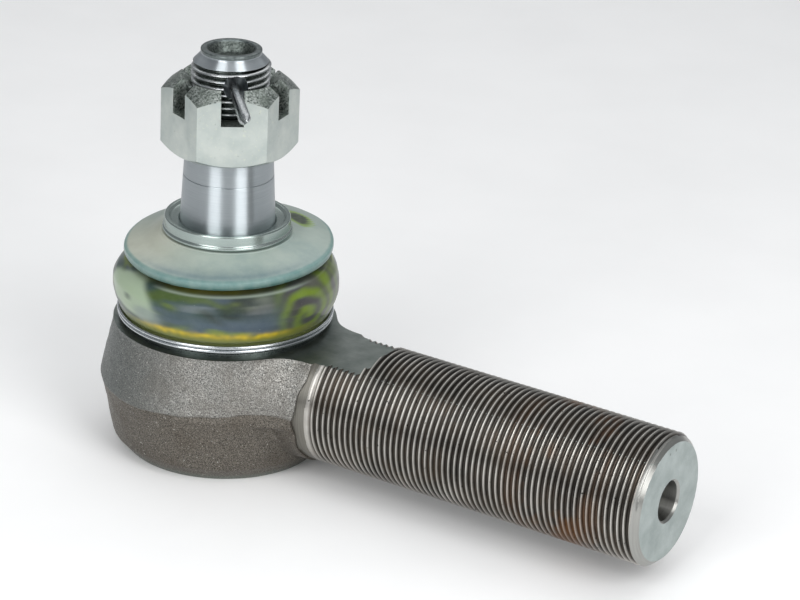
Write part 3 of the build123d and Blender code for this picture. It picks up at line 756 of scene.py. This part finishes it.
def boot_colours(place, theta):
    """What shows through the boot's skin: yellow and green grease, and a milky clot; with a painted
    blue-grey reflection, and painted shade and a painted highlight under the disc.

    phi is the direction from the front, in degrees, with the right of the picture positive.
    """
    z = place[..., 2]
    r = np.hypot(place[..., 0], place[..., 1])
    phi = angle_from(theta, FRONT)
    warp = np.stack([noise(place, 6.0, n) for n in (11, 12, 13)], axis=-1)
    fine = np.stack([noise(place, 2.6, n) for n in (14, 15, 16)], axis=-1)
    thin = noise(place, 1.1, 17)
    q = (place + 4.0 * warp + 1.0 * fine) * (0.62, 0.62, 1.9)
    # dark patches, and a blue-grey painted reflection on the bulge
    colour = np.ones(place.shape) * screen(44, 64, 60)
    dark = layered(q, 9.0, 3, 21) + 0.8 * bump_at(z, 25.0, 3.0) * bump_at(phi, 10, 30)
    colour = blend_colour(colour, screen(16, 30, 22), smoothstep(-0.5, 0.6, dark) * 0.9)
    blue_grey_reflection = layered(q + 60, 8.0, 3, 51) + 0.7 * bump_at(z, 19.2, 2.6) * bump_at(phi, 25, 35)
    colour = blend_colour(colour, screen(66, 82, 96), smoothstep(-0.3, 0.7, blue_grey_reflection) * 0.75)
    # drifts of green and lime grease
    green = layered(q, 7.0, 3, 31) + 0.85 * bump_at(phi, -28, 20) * bump_at(z, 25.0, 2.2)
    green = green - 0.3 * bump_at(phi, 15, 25)
    colour = blend_colour(colour, screen(66, 84, 24), smoothstep(0.1, 0.8, green) * 0.85)
    lime = layered(q - 35, 5.0, 3, 35) + 0.55 * bump_at(phi, 4, 18) * bump_at(z, 18.2, 1.4)
    lime = lime - 0.2 * bump_at(phi, 20, 25) * bump_at(z, 23, 4)
    colour = blend_colour(colour, screen(104, 120, 30), smoothstep(0.45, 0.9, lime) * 0.8)
    # behind the front: paler, with less grease
    pale = smoothstep(0.1, 0.7, layered(place, 14.0, 2, 52) + 1.1 * smoothstep(85, 130, np.abs(phi)))
    colour = blend_colour(colour, screen(146, 156, 128), pale * 0.65)
    # a milky clot on the left, with a dark spot
    clot = bump_at(phi, -60, 19) * bump_at(z, 23.4, 4.4)
    clot = clot + 0.55 * bump_at(phi, -42, 14) * bump_at(z, 20.0, 3.0)
    clot = smoothstep(0.34, 0.52, clot + 0.14 * fine[..., 0] + 0.10 * warp[..., 1])
    colour = blend_colour(colour, screen(152, 168, 144), clot * 0.95)
    grey = smoothstep(0.3, 0.7, bump_at(phi, -40, 12) * bump_at(z, 19.2, 2.4) + 0.15 * fine[..., 2])
    colour = blend_colour(colour, screen(118, 130, 128), grey * 0.7)
    spot = smoothstep(0.35, 0.7, bump_at(phi, -55.5, 3.2) * bump_at(z, 21.8, 0.9) + 0.12 * fine[..., 1])
    colour = blend_colour(colour, screen(62, 78, 66), spot * 0.95)
    # curls of grease on the right
    across = (phi - 50) * 0.42 + 1.6 * fine[..., 0]
    high = (z - 20.5) * 1.15 + 1.4 * warp[..., 1]
    ring = np.sin(1.6 * np.hypot(across, high) - 0.8 * np.arctan2(high, across) + 1.2 * warp[..., 2])
    right = smoothstep(26, 38, phi) * smoothstep(104, 70, phi) * smoothstep(16.2, 18, z)
    colour = blend_colour(colour, screen(66, 60, 62), right * smoothstep(-1.0, 0.1, -ring) * 0.7)
    curl = right * smoothstep(-0.4, 0.7, ring + 0.3 * thin)
    colour = blend_colour(colour, screen(106, 128, 26), curl * 0.85)
    colour = spread(colour, 26, 2)
    # settled grease low down: a yellow band, brighter along one line
    low = smoothstep(-78, -40, phi) * smoothstep(88, 40, phi)
    low = smoothstep(18.2, 17.0, z + 0.35 * warp[..., 0]) * low
    colour = blend_colour(colour, screen(108, 112, 28), low * 0.85)
    line = smoothstep(-52, -30, phi) * smoothstep(44, 26, phi)
    line = bump_at(z + 0.2 * fine[..., 0], 17.35, 0.75) * line
    colour = blend_colour(colour, screen(198, 172, 20), line * (0.55 + 0.45 * thin))
    edge = smoothstep(16.2, 15.5, z) * smoothstep(22.8, 23.6, r)
    colour = blend_colour(colour, screen(84, 92, 54), edge * 0.85)
    # under the disc: painted shade in the gap below it, a painted highlight line along the bulge's
    # shoulder, and a yellow line
    under_disc_shade = smoothstep(26.6, 27.4, z)
    colour = blend_colour(colour, screen(30, 42, 36), under_disc_shade * 0.7)
    shoulder_highlight = bump_at(z, 26.75, 0.2) * smoothstep(-46, -30, phi) * smoothstep(62, 40, phi)
    colour = blend_colour(colour, screen(160, 172, 160), shoulder_highlight * 0.7)
    under = bump_at(z, 27.5, 0.5) * bump_at(phi, -8, 32) * (r > 18)
    colour = blend_colour(colour, screen(120, 112, 20), np.clip(under, 0, 1) * 0.6)
    return blend_colour(colour, disc_colours(place, phi, r, z, warp, fine), smoothstep(28.4, 28.6, z))


def disc_colours(place, phi, r, z, warp, fine):
    """The milky disc: warmer on the left, teal towards its edge, with a smear of grease by the ring."""
    face = np.ones(place.shape) * screen(150, 163, 156)
    cloudy = smoothstep(-0.3, 0.6, layered(place, 8.0, 3, 61))
    face = blend_colour(face, screen(132, 150, 146), cloudy * 0.6)
    face = blend_colour(face, screen(166, 166, 150), bump_at(phi, -75, 45) * 0.8)
    face = blend_colour(face, screen(122, 140, 138), bump_at(phi, 10, 45) * smoothstep(18, 22, r) * 0.8)
    shade = bump_at(r, 22.4, 0.8) * smoothstep(75, 20, np.abs(phi))
    face = blend_colour(face, screen(96, 118, 124), shade * 0.7)
    side = smoothstep(22.9, 23.6, r)
    face = blend_colour(face, screen(92, 128, 126), side * 0.85)
    face = blend_colour(face, screen(44, 84, 78), side * smoothstep(30.4, 28.8, z) * 0.9)
    smear = bump_at(phi, SMEAR_PHI, 15.0) * bump_at(r, SMEAR_R, 1.9)
    hairs = bump_at(r, SMEAR_R + 1.2, 1.4) * bump_at(phi, SMEAR_PHI - 9, 16)
    hairs = 0.16 * np.sin(phi * 1.9 + 3 * warp[..., 0]) * hairs
    fringe = smoothstep(0.18, 0.36, smear + 0.08 * fine[..., 2] + hairs)
    face = blend_colour(face, screen(128, 156, 52), fringe * 0.85)
    dark = smoothstep(0.40, 0.66, smear + 0.14 * fine[..., 0] + hairs)
    return blend_colour(face, screen(22, 38, 26), dark * 0.95)


def make_boot(name, line):
    """One turned piece of the boot, with a colour for each point."""
    points, theta = turned(line, COLUMNS)
    theta = theta[None, :] + 0 * points[..., 0]
    z = points[..., 2]
    colours = boot_colours(points, theta)
    r = np.hypot(points[..., 0], points[..., 1])
    soft = 0.14 * layered(points, 9.0, 2, 71) * smoothstep(15.6, 17.5, z) * smoothstep(15.5, 21, r)
    # the top of the boot has settled a little: down on the left and in front, and to the right
    tilt = smoothstep(SEAM_Z + 1, 28.0, z) * smoothstep(15.0, 20.0, r)
    right = points @ np.array((math.cos(AZIMUTH), math.sin(AZIMUTH), 0.0))
    nearer = points @ np.array((math.sin(AZIMUTH), -math.cos(AZIMUTH), 0.0))
    lift = (math.tan(math.radians(2.2)) * right - math.tan(math.radians(2.0)) * nearer) * tilt
    drift = 0.5 * tilt
    out_x = np.cos(theta) * soft + drift * math.cos(AZIMUTH)
    out_y = np.sin(theta) * soft + drift * math.sin(AZIMUTH)
    out = np.stack([out_x, out_y, lift], axis=-1)
    milk = smoothstep(28.4, 28.6, z)
    return grid_object(name, points + out, closed=True, sharp=60, values={"look": colours, "milk": milk})


# ---------------------------------------------------------------- rings and nut

def make_clamp_ring():
    """Drawn wire wound twice round the bead, its ends side by side."""
    wire = 0.45
    wound = np.linspace(0, 2 * 360 + 24, 560)
    turn = np.radians(CLAMP_START + wound)
    second = smoothstep(330, 420, wound)
    r = 24.15 + wire - 0.12 * (1 - second)
    z = 13.42 + 0.98 * second
    path = np.stack([r * np.cos(turn), r * np.sin(turn), z], axis=-1)
    return tube_object("clamp_wire", path, wire)


def make_collar_ring():
    """The bright ring on the boot, with a rolled foot and a sunk top."""
    line = rounded([
        (10.93, 33.6, 0), (10.93, 33.5, 0), (14.6, 33.5, 0.2), (14.9, 33.85, 0.25), (14.85, 34.3, 0.3),
        (14.5, 34.6, 0.4), (14.45, 36.7, 0.3), (14.2, 37.0, 0.2), (13.5, 37.0, 0.3), (12.9, 36.3, 0.5),
        (11.3, 36.1, 0.3), (10.93, 35.8, 0),
    ], 0.2)
    points, _ = turned(line, 240)
    return grid_object("collar_ring", points, closed=True, sharp=50)


def softened(name, node, width):
    """A copy of a CAD node with its edges broken."""
    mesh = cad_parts[node].data.copy()
    obj = bpy.data.objects.new(name, mesh)
    bpy.context.scene.collection.objects.link(obj)
    work = bmesh.new()
    work.from_mesh(mesh)
    bmesh.ops.remove_doubles(work, verts=work.verts, dist=2e-6)
    bmesh.ops.dissolve_limit(work, angle_limit=math.radians(1.5), verts=work.verts, edges=work.edges)
    sharp = math.radians(30)
    edges = [e for e in work.edges if len(e.link_faces) == 2 and e.calc_face_angle() > sharp]
    bmesh.ops.bevel(
        work, geom=edges, offset=width * MM, segments=2, affect="EDGES", profile=0.6, clamp_overlap=True
    )
    work.to_mesh(mesh)
    work.free()
    mesh.materials.clear()
    mesh.shade_smooth()
    mesh.set_sharp_from_angle(angle=math.radians(35))
    return obj


# ---------------------------------------------------------------- stage

def make_camera():
    flat = math.cos(ELEVATION)
    back = Vector((math.sin(AZIMUTH) * flat, -math.cos(AZIMUTH) * flat, math.sin(ELEVATION)))
    level = Vector((math.cos(AZIMUTH), math.sin(AZIMUTH), 0))
    over = back.cross(level)
    right = math.cos(ROLL) * level + math.sin(ROLL) * over
    up = -math.sin(ROLL) * level + math.cos(ROLL) * over
    data = bpy.data.cameras.new("camera")
    data.sensor_width = 36
    data.lens = LENS
    data.clip_start = 0.01
    camera = bpy.data.objects.new("camera", data)
    camera.matrix_world = Matrix((right, up, back)).transposed().to_4x4()
    camera.location = (back * DISTANCE + right * SHIFT_RIGHT + up * SHIFT_UP) * MM
    bpy.context.scene.collection.objects.link(camera)
    bpy.context.scene.camera = camera


def softbox(name, direction, elevation, distance, width, height, power):
    """A rectangular light that faces the object; direction is from +X, seen from above."""
    data = bpy.data.lights.new(name, "AREA")
    data.shape = "RECTANGLE"
    data.size = width
    data.size_y = height
    data.energy = power
    light = bpy.data.objects.new(name, data)
    a = math.radians(direction)
    e = math.radians(elevation)
    towards = Vector((math.cos(a) * math.cos(e), math.sin(a) * math.cos(e), math.sin(e)))
    light.location = towards * distance + Vector((0.03, 0, 0.01))
    light.rotation_euler = towards.to_track_quat("Z", "Y").to_euler()
    bpy.context.scene.collection.objects.link(light)


def make_floor():
    low = cad_box[0][2]
    size = 3.0
    mesh = bpy.data.meshes.new("floor")
    corners = [(-size, -size, low), (size, -size, low), (size, size, low), (-size, size, low)]
    mesh.from_pydata(corners, [], [(0, 1, 2, 3)])
    floor = bpy.data.objects.new("floor", mesh)
    bpy.context.scene.collection.objects.link(floor)
    dark = (0.93, 0.93, 0.93, 1)
    light = (0.95, 0.95, 0.95, 1)
    mesh.materials.append(plain_material("pale_floor", dark, light, 0.6, size=40))


def make_light():
    world = bpy.data.worlds.new("world")
    bpy.context.scene.world = world
    world.use_nodes = True
    sky = world.node_tree.nodes["Background"]
    sky.inputs["Color"].default_value = (0.94, 0.97, 1.0, 1)
    sky.inputs["Strength"].default_value = 0.33
    softbox("left_box", FRONT - 32, 31, 0.75, 0.36, 0.60, 2.9)
    softbox("right_box", FRONT + 36, 31, 0.75, 0.36, 0.60, 3.2)
    softbox("top_box", FRONT + 90, 84, 0.9, 1.2, 0.9, 2.6)
    softbox("back_box", FRONT + 178, 45, 1.2, 1.6, 0.6, 2.2)
    view = bpy.context.scene.view_settings
    view.view_transform = "Standard"
    view.exposure = 0.0


# ---------------------------------------------------------------- the object

def dress(obj, material):
    obj.data.materials.clear()
    obj.data.materials.append(material)


def in_slot(place):
    """Whether a place on the nut, in millimetres, is a slot's wall or floor."""
    half_width = 2.62
    inside = 13.3
    if place.z <= SLOT_FLOOR or math.hypot(place.x, place.y) >= inside:
        return False
    for n in range(3):
        a = math.radians(NUT_TURN + 60 * n)
        if abs(place.x * math.sin(a) - place.y * math.cos(a)) < half_width:
            return True
    return False


def build_housing():
    forged = forged_material()
    milled = milled_material("milled_steel", srgb(112, 120, 116), srgb(144, 150, 146), 0.30)
    # painted shade: the seat, mouth and bore take a darker steel
    seat = milled_material("seat_painted_shade", srgb(70, 76, 76), srgb(100, 106, 104), 0.22)
    end = milled_material("faced_end", srgb(158, 167, 165), srgb(182, 190, 188), 0.46)
    light = (srgb(156, 156, 152), srgb(184, 184, 180))
    bright = turned_material("turned_bright", *light, 0.34, 0.9, "X", 0.2, 0.002)

    body = make_housing()
    for material in (forged, milled, seat):
        body.data.materials.append(material)
    for face in body.data.polygons:
        c = face.center
        r = math.hypot(c.x, c.y)
        if c.z > (FLAT_Z - 0.03) * MM:
            face.material_index = 1 if r > (SEAT_R + 0.1) * MM and c.z < 12 * MM else 2
        elif (r < 22.8 * MM and c.z < -5 * MM) or r < 22 * MM:
            face.material_index = 2
    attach(body, "root")
    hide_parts("housing")

    shank = make_shank()
    thread = shank_material(SHANK_R - 0.02, SHANK_R - 0.8)
    dull = (srgb(118, 116, 109), srgb(160, 157, 150))
    collar = turned_material("turned_collar", *dull, 0.40, 0.8, "X", 0.25, 0.003)
    for material in (thread, milled, end, bright, collar):
        shank.data.materials.append(material)
    for face in shank.data.polygons:
        c = face.center
        r = math.hypot(c.y, c.z)
        if abs(c.z - FLAT_Z * MM) < 3e-5:
            face.material_index = 1
        elif c.x > (SHANK_END - 0.02) * MM and r > (CENTRE_HOLE_R + 0.5) * MM:
            face.material_index = 2
        elif r < (CENTRE_HOLE_R + 0.7) * MM or c.x > (SHANK_END - 1.5) * MM:
            face.material_index = 3
        elif c.x < (COLLAR_X + 3.9) * MM:
            face.material_index = 4
    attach(shank, "root")
    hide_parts("housing")


def build_boot():
    skin = boot_material()
    lower = make_boot("boot_lower", boot_lower_line())
    dress(lower, skin)
    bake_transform(lower)
    upper = make_boot("boot_upper", boot_upper_line())
    dress(upper, skin)
    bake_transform(upper)
    for piece in (lower, upper):
        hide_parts("boot")


def build_rings():
    ring = make_clamp_ring()
    dress(ring, wire_material("drawn_wire", srgb(170, 176, 180), srgb(210, 214, 216), 0.14))
    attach(ring, "root")
    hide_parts("boot_clamp_ring")

    collar = make_collar_ring()
    zinc = (srgb(162, 175, 171), srgb(184, 193, 189))
    dress(collar, turned_material("collar_zinc", *zinc, 0.26, 0.6, "Z", 0.3, 0.0003))
    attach(collar, "collar_body")
    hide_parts("boot_collar_ring")


def build_nut():
    nut = softened("nut", "castle_nut", 0.2)
    nut.data.materials.append(zinc_material())
    nut.data.materials.append(mottled_material())
    for face in nut.data.polygons:
        c = face.center / MM
        on_top = face.normal.z > 0.2 and c.z > 66
        in_bore = math.hypot(c.x, c.y) < 9.6
        # slots, top faces and bore take the darker mottled metal: painted shade and painted dark reflection
        if in_slot(c) or on_top or in_bore:
            face.material_index = 1
    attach(nut, "stud_body")
    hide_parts("castle_nut")


def build_stud():
    stud = make_stud()
    dress(stud, turned_material("ground_stud", srgb(178, 185, 189), srgb(198, 204, 207), 0.36, 1.0))
    dish = plain_material("dished_top", srgb(30, 36, 33), srgb(122, 130, 126), 0.36, 0.9, 0.55)
    rim = plain_material("stud_rim", srgb(88, 96, 96), srgb(128, 135, 134), 0.30, 1.0)
    for material in (rolled_material(), dish, rim):
        stud.data.materials.append(material)
    for face in stud.data.polygons:
        c = face.center / MM
        r = math.hypot(c.x, c.y)
        if c.z > 73.95 and r < 5.3:
            face.material_index = 2
        elif c.z > 76.0:
            face.material_index = 3
        elif 52.4 < c.z < 73.9 and r > 6:
            face.material_index = 1
    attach(stud, "stud_body")
    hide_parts("ball_stud")


def build_pin():
    pin = wire_material("pin_wire", srgb(160, 164, 166), srgb(200, 203, 204), 0.20)
    right = make_pin_leg("pin_leg_right", 1, (24.9, -46.3, 68.2))
    left = make_pin_leg("pin_leg_left", -1, (23.9, -47.1, 67.5))
    for piece in (right, left, make_pin_eye()):
        dress(piece, pin)
        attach(piece, "stud_body")
        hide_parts("split_pin")


def dress_inside():
    """Looks for the CAD nodes that are kept as they are."""
    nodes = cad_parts
    cover = plain_material("cover_zinc", srgb(150, 150, 146), srgb(176, 176, 170), 0.35, 0.9)
    spring = plain_material("spring_phosphate", srgb(60, 62, 66), srgb(88, 90, 94), 0.4, 0.9)
    dress(nodes["cover_plate"], cover)
    dress(nodes["cover_seal"], plain_material("seal_rubber", srgb(26, 26, 26), srgb(44, 44, 42), 0.55))
    dress(nodes["disc_spring"], spring)
    for name in ("upper_bearing_shell", "lower_bearing_shell"):
        dress(nodes[name], plain_material(name + "_acetal", srgb(214, 210, 194), srgb(228, 224, 210), 0.4))


make_camera()
make_light()
build_housing()
build_boot()
build_rings()
build_nut()
build_stud()
build_pin()
dress_inside()
make_floor()
